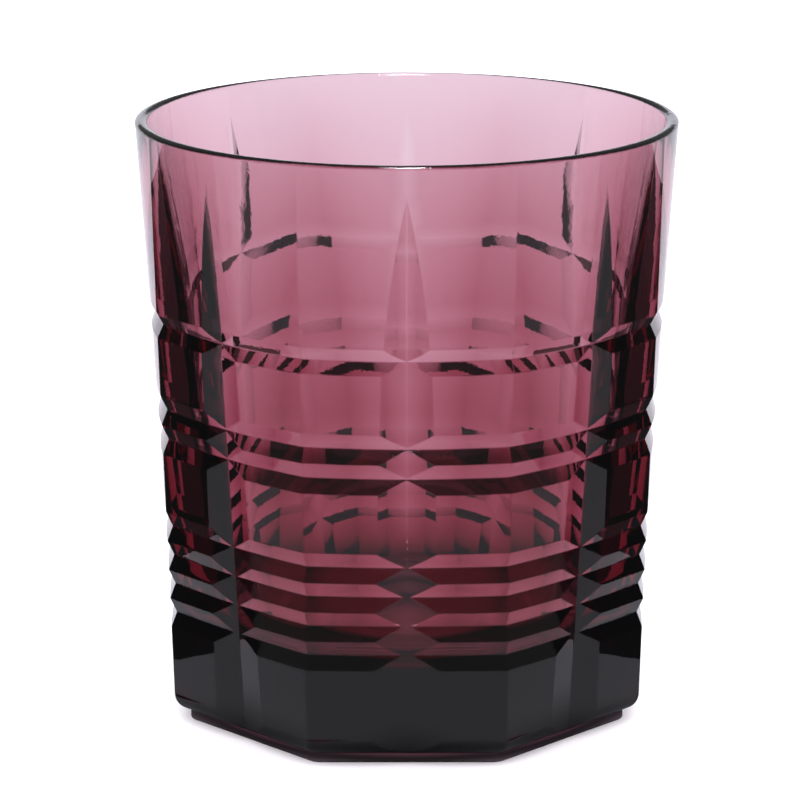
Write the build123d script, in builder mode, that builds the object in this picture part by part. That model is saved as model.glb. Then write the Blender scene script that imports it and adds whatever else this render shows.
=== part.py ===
from build123d import *
import math
import os

# Whiskey tumbler, pressed from one gob of glass. Millimetres, +Z up. The origin is the middle
# of the foot, on the plane that the glass stands on, and +Z is the axis of the glass.

# Overall size
HEIGHT = 92.8
RIM_RADIUS = 41.65
LIP_THICKNESS = 1.9
LIP_CROWN = 0.5  # height of the rounded lip, half an ellipse across the wall

# Outside: eight panels, which are flat at the heel and bow out to a full circle at the rim.
# A crease is the corner between two panels. One panel faces the front, along -Y.
PANEL_COUNT = 8
HEEL_CREASE_RADIUS = 38.95
SHOULDER_CREASE_RADIUS = 40.95
SHOULDER_BOW = 1.95  # how far the middle of a panel stands out from its chord at the shoulder
HEEL_ROUNDING = 3.0

# Foot: a low plinth under the heel, with a shallow dish so that the glass stands on a ring
FOOT_HEIGHT = 1.6
FOOT_APOTHEM = 33.7  # from the axis to the middle of a side
FOOT_CORNER_RADIUS = 2.5
FOOT_EDGE_ROUNDING = 0.3
DISH_RADIUS = 27.0
DISH_DEPTH = 0.9

# Horizontal grooves, V-shaped. From the heel up there are a band of four, a band of two and a
# single groove, whose upper edge is the shoulder.
GROOVE_PITCH = 4.62
GROOVE_HALF_WIDTH = GROOVE_PITCH / 2
LOWEST_GROOVE = 17.8  # height of its bottom line
LOWER_BAND_COUNT = 4
MIDDLE_BAND_COUNT = 2
BAND_STEP = 3 * GROOVE_PITCH  # from the last groove of one band to the first of the next
TOP_GROOVE = 63.5
TOP_GROOVE_HALF_WIDTH = 2.0
GROOVE_DEPTH_CREASE = 1.0
GROOVE_DEPTH_MIDDLE = 0.87

# Upright V flutes down the middle of each panel
FLUTE_RADIUS_TABLE = 34.74  # radius of the flute's bottom line on the table plane
FLUTE_RADIUS_TOP_GROOVE = 38.98
FLUTE_SPREAD_TABLE = 4.5  # half-width of the V for each millimetre of depth
FLUTE_SPREAD_TOP_GROOVE = 6.3

# Above the top groove each flute is a steeper V that runs out to a spear point below the rim
SPEAR_RADIUS_SHOULDER = 38.78  # radius of its bottom line where it starts
SPEAR_SPREAD = 3.6
SPEAR_TIP = 88.0
SPEAR_SAG = 0.12  # how far its bottom line sags inward between its ends

# Inside: round, with a plain tapered wall over a heavy base
FLOOR = 12.5
FLOOR_RISE = 0.6  # the floor's edge above its middle
FLOOR_RADIUS = 30.6  # where the line of the wall would meet the floor
FLOOR_CORNER_RADIUS = 9.0

LIP_BASE = HEIGHT - LIP_CROWN
MOUTH_RADIUS = RIM_RADIUS - LIP_THICKNESS
SHOULDER = TOP_GROOVE + TOP_GROOVE_HALF_WIDTH
HALF_PANEL = 180 / PANEL_COUNT
HALF_PANEL_COS = math.cos(math.radians(HALF_PANEL))
RIM_BOW = RIM_RADIUS * (1 - HALF_PANEL_COS)  # the bow that makes a panel part of the rim's circle
OVERRUN = 1.0  # how far a cutting solid runs past what it cuts
CUTTER_DEPTH = 3.0
DISH_SPHERE_RADIUS = (DISH_RADIUS**2 + DISH_DEPTH**2) / (2 * DISH_DEPTH)


def between(start, end, share):
    return start + (end - start) * share


def along_outside(height, at_heel, at_shoulder, at_lip):
    """A size of the outside at a height, straight from heel to shoulder and from there to the lip."""
    if height <= SHOULDER:
        return between(at_heel, at_shoulder, (height - FOOT_HEIGHT) / (SHOULDER - FOOT_HEIGHT))
    return between(at_shoulder, at_lip, (height - SHOULDER) / (LIP_BASE - SHOULDER))


def crease_radius(height):
    return along_outside(height, HEEL_CREASE_RADIUS, SHOULDER_CREASE_RADIUS, RIM_RADIUS)


def middle_radius(height):
    bow = along_outside(height, 0, SHOULDER_BOW, RIM_BOW)
    return crease_radius(height) * HALF_PANEL_COS + bow


def outline_levels():
    """(height, share of the groove's depth) of each section of the outside, from the heel up."""
    levels = [(FOOT_HEIGHT, 0)]
    lower = [LOWEST_GROOVE + i * GROOVE_PITCH for i in range(LOWER_BAND_COUNT)]
    middle = [lower[-1] + BAND_STEP + i * GROOVE_PITCH for i in range(MIDDLE_BAND_COUNT)]
    for band in (lower, middle):
        levels.append((band[0] - GROOVE_HALF_WIDTH, 0))
        for groove in band:
            levels.append((groove, 1))
            levels.append((groove + GROOVE_HALF_WIDTH, 0))
    levels.append((TOP_GROOVE - TOP_GROOVE_HALF_WIDTH, 0))
    levels.append((TOP_GROOVE, 1))
    levels.append((SHOULDER, 0))
    levels.append((LIP_BASE, 0))
    return levels


def polar_point(radius, degrees):
    angle = math.radians(degrees)
    return (radius * math.cos(angle), radius * math.sin(angle))


def draw_outline(height, depth_share):
    """Eight panels, each drawn from crease to crease through the panel's middle."""
    crease = crease_radius(height) - depth_share * GROOVE_DEPTH_CREASE
    middle = middle_radius(height) - depth_share * GROOVE_DEPTH_MIDDLE
    for panel in range(PANEL_COUNT):
        centre = panel * 2 * HALF_PANEL
        start = polar_point(crease, centre - HALF_PANEL)
        end = polar_point(crease, centre + HALF_PANEL)
        if height == FOOT_HEIGHT:
            Line(start, end)
        else:
            ThreePointArc(start, polar_point(middle, centre), end)


def flute_radius(height):
    """Radius of the flute's bottom line: straight up to the shoulder, then a shallow curve."""
    if height < SHOULDER:
        return between(FLUTE_RADIUS_TABLE, FLUTE_RADIUS_TOP_GROOVE, height / TOP_GROOVE)
    share = (height - SHOULDER) / (SPEAR_TIP - SHOULDER)
    sag = 4 * SPEAR_SAG * share * (1 - share)
    return between(SPEAR_RADIUS_SHOULDER, middle_radius(SPEAR_TIP), share) - sag


def draw_flute(height):
    """The V of the flute on the panel that faces +X."""
    spread = SPEAR_SPREAD
    if height < SHOULDER:
        spread = between(FLUTE_SPREAD_TABLE, FLUTE_SPREAD_TOP_GROOVE, height / TOP_GROOVE)
    bottom = flute_radius(height)
    outer = bottom + CUTTER_DEPTH
    half_width = CUTTER_DEPTH * spread
    Polygon((bottom, 0), (outer, -half_width), (outer, half_width), align=None)


with BuildPart() as tumbler:
    # Outside, with its horizontal grooves
    for level, depth_share in outline_levels():
        with BuildSketch(Plane.XY.offset(level)):
            with BuildLine():
                draw_outline(level, depth_share)
            make_face()
    loft(ruled=True)
    heel_edges = tumbler.edges().group_by(Axis.Z)[0]
    fillet(heel_edges, radius=HEEL_ROUNDING)

    # Foot
    with BuildSketch():
        RegularPolygon(FOOT_APOTHEM, PANEL_COUNT, major_radius=False, rotation=HALF_PANEL)
        fillet(vertices(), radius=FOOT_CORNER_RADIUS)
    extrude(amount=FOOT_HEIGHT + OVERRUN)
    foot_edges = tumbler.edges().group_by(Axis.Z)[0]
    fillet(foot_edges, radius=FOOT_EDGE_ROUNDING)
    with Locations((0, 0, DISH_DEPTH - DISH_SPHERE_RADIUS)):
        Sphere(DISH_SPHERE_RADIUS, mode=Mode.SUBTRACT)

    # Inside
    with BuildSketch(Plane.XZ):
        with BuildLine():
            Polyline((0, FLOOR), (FLOOR_RADIUS, FLOOR + FLOOR_RISE), (MOUTH_RADIUS, LIP_BASE))
            Polyline((MOUTH_RADIUS, LIP_BASE), (MOUTH_RADIUS, HEIGHT), (0, HEIGHT), (0, FLOOR))
        make_face()
        floor_corner = vertices().sort_by_distance((FLOOR_RADIUS, FLOOR + FLOOR_RISE))[0]
        fillet(floor_corner, radius=FLOOR_CORNER_RADIUS)
    revolve(axis=Axis.Z, mode=Mode.SUBTRACT)

    # Rounded lip
    with BuildSketch(Plane.XZ):
        with BuildLine():
            EllipticalCenterArc(
                (MOUTH_RADIUS + LIP_THICKNESS / 2, LIP_BASE),
                x_radius=LIP_THICKNESS / 2,
                y_radius=LIP_CROWN,
                arc_size=180,
            )
            Line((MOUTH_RADIUS, LIP_BASE), (RIM_RADIUS, LIP_BASE))
        make_face()
    revolve(axis=Axis.Z)

with BuildPart() as flute:
    for level in (-OVERRUN, TOP_GROOVE - TOP_GROOVE_HALF_WIDTH, SHOULDER):
        with BuildSketch(Plane.XY.offset(level)):
            draw_flute(level)
    loft(ruled=True)
    for level in (SHOULDER, (SHOULDER + SPEAR_TIP) / 2, SPEAR_TIP, LIP_BASE):
        with BuildSketch(Plane.XY.offset(level)):
            draw_flute(level)
    loft()

with tumbler:
    with PolarLocations(0, PANEL_COUNT):
        add(flute.part, mode=Mode.SUBTRACT)

tumbler.part.label = "tumbler"
os.makedirs("parts", exist_ok=True)
export_step(tumbler.part, "parts/tumbler.step")
print("volume cm3", tumbler.part.volume / 1000, "faces", len(tumbler.faces()))
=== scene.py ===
import math

import bpy
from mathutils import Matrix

# Whiskey tumbler of purple pressed glass, backlit on a white table.
# Metres, +Z up. The glass's axis is at the origin and -Y is towards the viewer.

MM = 0.001

# Camera: height over the table, distance from the glass's axis and tilt below level
CAMERA_HEIGHT = 189.7 * MM
CAMERA_DISTANCE = 546.9 * MM
CAMERA_TILT = math.radians(14.59)
CAMERA_LENS = 162.5
SENSOR_WIDTH = 36.0
CAMERA_SHIFT_X = -0.0085
CAMERA_SHIFT_Y = 0.0032
CAMERA_CLIP = 10 * MM

# How often light is followed through and off the glass
GLASS_BOUNCES = 32
MIRROR_BOUNCES = 16

# Glass
GLASS_IOR = 1.52
GLASS_DENSITY = 280  # absorption of green light per metre, the strongest of the three
GLASS_CLEARS = (0.57, 0.0, 0.14, 1)  # the share of that absorption which each colour is spared
EDGE_ROUNDING = 0.25 * MM

# Unevenness of the pressed surface: broad waves and a fine grain
WAVE_SIZE = 14 * MM
WAVE_HEIGHT = 0.01 * MM
GRAIN_SIZE = 0.5 * MM
GRAIN_HEIGHT = 0.002 * MM

# Table as the glass sees it, with painted light: bright behind the glass and dimmer in front,
# with a smooth change between the two edges
BACK_GLOW = 1.15
FRONT_GLOW = 0.57
GLOW_COLOR = (0.98, 0.97, 1.08, 1)
GLOW_FRONT_EDGE = -20 * MM
GLOW_BACK_EDGE = 80 * MM

# Painted shadow of the glass on that table, and in its middle a painted pool of the light that
# comes down through the glass. Each changes smoothly between an inner and an outer radius.
SHADOW_SHARE = 0.03
SHADOW_INNER = 31 * MM
SHADOW_OUTER = 50 * MM
POOL_SHARE = 1.0
POOL_INNER = 18 * MM
POOL_OUTER = 32 * MM

# Table as the camera sees it: pale paint, overexposed
TABLE_REACH = 3
TABLE_PAINT = (0.85, 0.83, 0.88, 1)
TABLE_LIGHT = 2.4

# Dark room around it all, as the glass sees it
ROOM_GLOW = 0.18

# White backdrop, as bright as the table in front of it
BACKDROP_DISTANCE = 0.6
BACKDROP_WIDTH = 1.8
BACKDROP_HEIGHT = 0.22

# Small lamp overhead, for the sparkles
LAMP_SIZE = 70 * MM
LAMP_HEIGHT = 0.5
LAMP_GLOW = 110

# Dark cards that stand close beside the glass: depth and height of each corner, in millimetres
CARD_GLOW = 0.06
CARD_OFFSET = 62 * MM
CARD_CORNERS = ((-31, 0), (45, 0), (38, 50), (3, 81), (-31, 107))


def new_material(name):
    """An empty node material, with its nodes, its links and its output."""
    material = bpy.data.materials.new(name)
    material.use_nodes = True
    nodes = material.node_tree.nodes
    nodes.clear()
    return material, nodes, material.node_tree.links, nodes.new("ShaderNodeOutputMaterial")


def glow_material(name, strength):
    """Plain light of the given strength."""
    material, nodes, links, output = new_material(name)
    glow = nodes.new("ShaderNodeEmission")
    glow.inputs["Color"].default_value = GLOW_COLOR
    glow.inputs["Strength"].default_value = strength
    links.new(glow.outputs[0], output.inputs["Surface"])
    return material


def noise_relief(nodes, links, place, size, height):
    """Smooth random relief in metres, with humps of about the given size."""
    noise = nodes.new("ShaderNodeTexNoise")
    noise.inputs["Scale"].default_value = 1 / size
    noise.inputs["Detail"].default_value = 1.0
    scaled = nodes.new("ShaderNodeMath")
    scaled.operation = "MULTIPLY"
    scaled.inputs[1].default_value = height
    links.new(place.outputs["Object"], noise.inputs["Vector"])
    links.new(noise.outputs["Fac"], scaled.inputs[0])
    return scaled


def glass_material():
    """Clear purple glass with fire-polished edges and a slightly uneven pressed surface."""
    material, nodes, links, output = new_material("purple_pressed_glass")
    shader = nodes.new("ShaderNodeBsdfPrincipled")
    shader.inputs["Base Color"].default_value = (1, 1, 1, 1)
    shader.inputs["Roughness"].default_value = 0.0
    shader.inputs["IOR"].default_value = GLASS_IOR
    shader.inputs["Transmission Weight"].default_value = 1.0
    absorption = nodes.new("ShaderNodeVolumeAbsorption")
    absorption.inputs["Color"].default_value = GLASS_CLEARS
    absorption.inputs["Density"].default_value = GLASS_DENSITY

    place = nodes.new("ShaderNodeTexCoord")
    waves = noise_relief(nodes, links, place, WAVE_SIZE, WAVE_HEIGHT)
    grain = noise_relief(nodes, links, place, GRAIN_SIZE, GRAIN_HEIGHT)
    relief = nodes.new("ShaderNodeMath")
    relief.operation = "ADD"
    rounded = nodes.new("ShaderNodeBevel")
    rounded.inputs["Radius"].default_value = EDGE_ROUNDING
    bump = nodes.new("ShaderNodeBump")
    bump.inputs["Distance"].default_value = 1.0
    links.new(waves.outputs[0], relief.inputs[0])
    links.new(grain.outputs[0], relief.inputs[1])
    links.new(relief.outputs[0], bump.inputs["Height"])
    links.new(rounded.outputs[0], bump.inputs["Normal"])
    links.new(bump.outputs[0], shader.inputs["Normal"])
    links.new(shader.outputs[0], output.inputs["Surface"])
    links.new(absorption.outputs[0], output.inputs["Volume"])
    return material


def ramp(nodes, links, value, start, end):
    """A smooth step: from start to end over the given range of the value, as (at, level) pairs."""
    step = nodes.new("ShaderNodeMapRange")
    step.interpolation_type = "SMOOTHSTEP"
    step.inputs["From Min"].default_value, step.inputs["To Min"].default_value = start
    step.inputs["From Max"].default_value, step.inputs["To Max"].default_value = end
    links.new(value, step.inputs["Value"])
    return step.outputs["Result"]


def table_material():
    """White paint to the camera. To the glass, painted light: a glow from behind, the glass's
    painted shadow and a painted pool of light.
    """
    material, nodes, links, output = new_material("white_table_painted_glow")
    paint = nodes.new("ShaderNodeBsdfDiffuse")
    paint.inputs["Color"].default_value = TABLE_PAINT

    place = nodes.new("ShaderNodeTexCoord")
    depth = nodes.new("ShaderNodeSeparateXYZ")
    radius = nodes.new("ShaderNodeVectorMath")
    radius.operation = "LENGTH"
    links.new(place.outputs["Object"], depth.inputs[0])
    links.new(place.outputs["Object"], radius.inputs[0])
    # Painted light: the table glows brighter behind the glass than in front of it
    painted_light = ramp(
        nodes, links, depth.outputs["Y"],
        (GLOW_FRONT_EDGE, FRONT_GLOW), (GLOW_BACK_EDGE, BACK_GLOW),
    )
    # Painted shadow: the glass's shadow on the table, darkest close round the foot
    painted_shadow = ramp(
        nodes, links, radius.outputs["Value"],
        (SHADOW_INNER, SHADOW_SHARE), (SHADOW_OUTER, 1.0),
    )
    # Painted pool of light under the middle of the glass
    painted_pool = ramp(
        nodes, links, radius.outputs["Value"],
        (POOL_INNER, POOL_SHARE), (POOL_OUTER, 0.0),
    )
    painted_shadow_and_pool = nodes.new("ShaderNodeMath")
    painted_shadow_and_pool.operation = "MAXIMUM"
    strength = nodes.new("ShaderNodeMath")
    strength.operation = "MULTIPLY"
    # Painted glow that only the glass sees on the table, with its painted shadow and pool of light
    glow = nodes.new("ShaderNodeEmission")
    glow.inputs["Color"].default_value = GLOW_COLOR
    links.new(painted_light, strength.inputs[0])
    links.new(painted_shadow, painted_shadow_and_pool.inputs[0])
    links.new(painted_pool, painted_shadow_and_pool.inputs[1])
    links.new(painted_shadow_and_pool.outputs[0], strength.inputs[1])
    links.new(strength.outputs[0], glow.inputs["Strength"])

    path = nodes.new("ShaderNodeLightPath")
    seen = nodes.new("ShaderNodeMixShader")
    links.new(path.outputs["Is Camera Ray"], seen.inputs[0])
    links.new(glow.outputs[0], seen.inputs[1])
    links.new(paint.outputs[0], seen.inputs[2])
    links.new(seen.outputs[0], output.inputs["Surface"])
    return material


def make_world():
    """White for the picture and the table, a dark room for what the glass mirrors and bends."""
    world = bpy.data.worlds.new("studio")
    bpy.context.scene.world = world
    world.use_nodes = True
    nodes, links = world.node_tree.nodes, world.node_tree.links
    background = nodes["Background"]
    background.inputs["Color"].default_value = (1, 1, 1, 1)
    path = nodes.new("ShaderNodeLightPath")
    in_glass = nodes.new("ShaderNodeMath")
    in_glass.operation = "MAXIMUM"
    strength = nodes.new("ShaderNodeMapRange")
    strength.inputs["To Min"].default_value = TABLE_LIGHT
    strength.inputs["To Max"].default_value = ROOM_GLOW
    links.new(path.outputs["Is Glossy Ray"], in_glass.inputs[0])
    links.new(path.outputs["Is Transmission Ray"], in_glass.inputs[1])
    links.new(in_glass.outputs[0], strength.inputs["Value"])
    links.new(strength.outputs["Result"], background.inputs["Strength"])


def make_camera():
    data = bpy.data.cameras.new("camera")
    data.lens = CAMERA_LENS
    data.sensor_width = SENSOR_WIDTH
    data.shift_x = CAMERA_SHIFT_X
    data.shift_y = CAMERA_SHIFT_Y
    data.clip_start = CAMERA_CLIP
    camera = bpy.data.objects.new("camera", data)
    camera.location = (0, -CAMERA_DISTANCE, CAMERA_HEIGHT)
    camera.rotation_euler = (math.pi / 2 - CAMERA_TILT, 0, 0)
    bpy.context.scene.collection.objects.link(camera)
    bpy.context.scene.camera = camera
    return camera


def make_turntable(camera):
    """An upright axis through the glass that keeps the studio turned towards the camera."""
    turntable = bpy.data.objects.new("turntable", None)
    bpy.context.scene.collection.objects.link(turntable)
    facing = turntable.constraints.new("LOCKED_TRACK")
    facing.target = camera
    facing.track_axis = "TRACK_NEGATIVE_Y"
    facing.lock_axis = "LOCK_Z"
    return turntable


def make_panel(name, corners, material, turntable):
    """A flat piece of the studio."""
    mesh = bpy.data.meshes.new(name)
    mesh.from_pydata(corners, [], [range(len(corners))])
    mesh.materials.append(material)
    panel = bpy.data.objects.new(name, mesh)
    bpy.context.scene.collection.objects.link(panel)
    panel.parent = turntable
    return panel


def make_hidden_panel(name, corners, material, turntable):
    """A panel that shows only in what the glass mirrors and bends."""
    panel = make_panel(name, corners, material, turntable)
    panel.visible_camera = False
    panel.visible_shadow = False
    panel.visible_diffuse = False


def level_square(reach, height):
    """Corners of a level square round the axis, which reaches as far as given on each side."""
    return [
        (-reach, -reach, height), (reach, -reach, height),
        (reach, reach, height), (-reach, reach, height),
    ]


def make_studio(turntable):
    make_panel("table", level_square(TABLE_REACH, 0), table_material(), turntable)

    side, far, top = BACKDROP_WIDTH / 2, BACKDROP_DISTANCE, BACKDROP_HEIGHT
    corners = [(-side, far, 0), (side, far, 0), (side, far, top), (-side, far, top)]
    make_hidden_panel("backdrop", corners, glow_material("backdrop_white", BACK_GLOW), turntable)

    corners = level_square(LAMP_SIZE / 2, LAMP_HEIGHT)
    make_hidden_panel("lamp", corners, glow_material("lamp_white", LAMP_GLOW), turntable)

    dark = glow_material("card_black", CARD_GLOW)
    for x, name in ((-CARD_OFFSET, "left_card"), (CARD_OFFSET, "right_card")):
        corners = [(x, depth * MM, height * MM) for depth, height in CARD_CORNERS]
        make_hidden_panel(name, corners, dark, turntable)


def set_up_picture():
    scene = bpy.context.scene
    scene.view_settings.view_transform = "Standard"
    scene.cycles.max_bounces = GLASS_BOUNCES
    scene.cycles.transmission_bounces = GLASS_BOUNCES
    scene.cycles.glossy_bounces = MIRROR_BOUNCES


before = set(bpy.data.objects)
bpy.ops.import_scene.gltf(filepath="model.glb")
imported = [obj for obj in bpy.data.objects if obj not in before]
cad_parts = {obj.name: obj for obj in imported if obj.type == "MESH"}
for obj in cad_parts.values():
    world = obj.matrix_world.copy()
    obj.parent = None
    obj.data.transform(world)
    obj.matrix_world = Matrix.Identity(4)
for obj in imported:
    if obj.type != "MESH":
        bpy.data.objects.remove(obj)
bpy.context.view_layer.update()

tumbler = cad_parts["tumbler"]
glass = glass_material()
for slot in tumbler.material_slots:
    slot.material = glass

make_world()
make_studio(make_turntable(make_camera()))
set_up_picture()
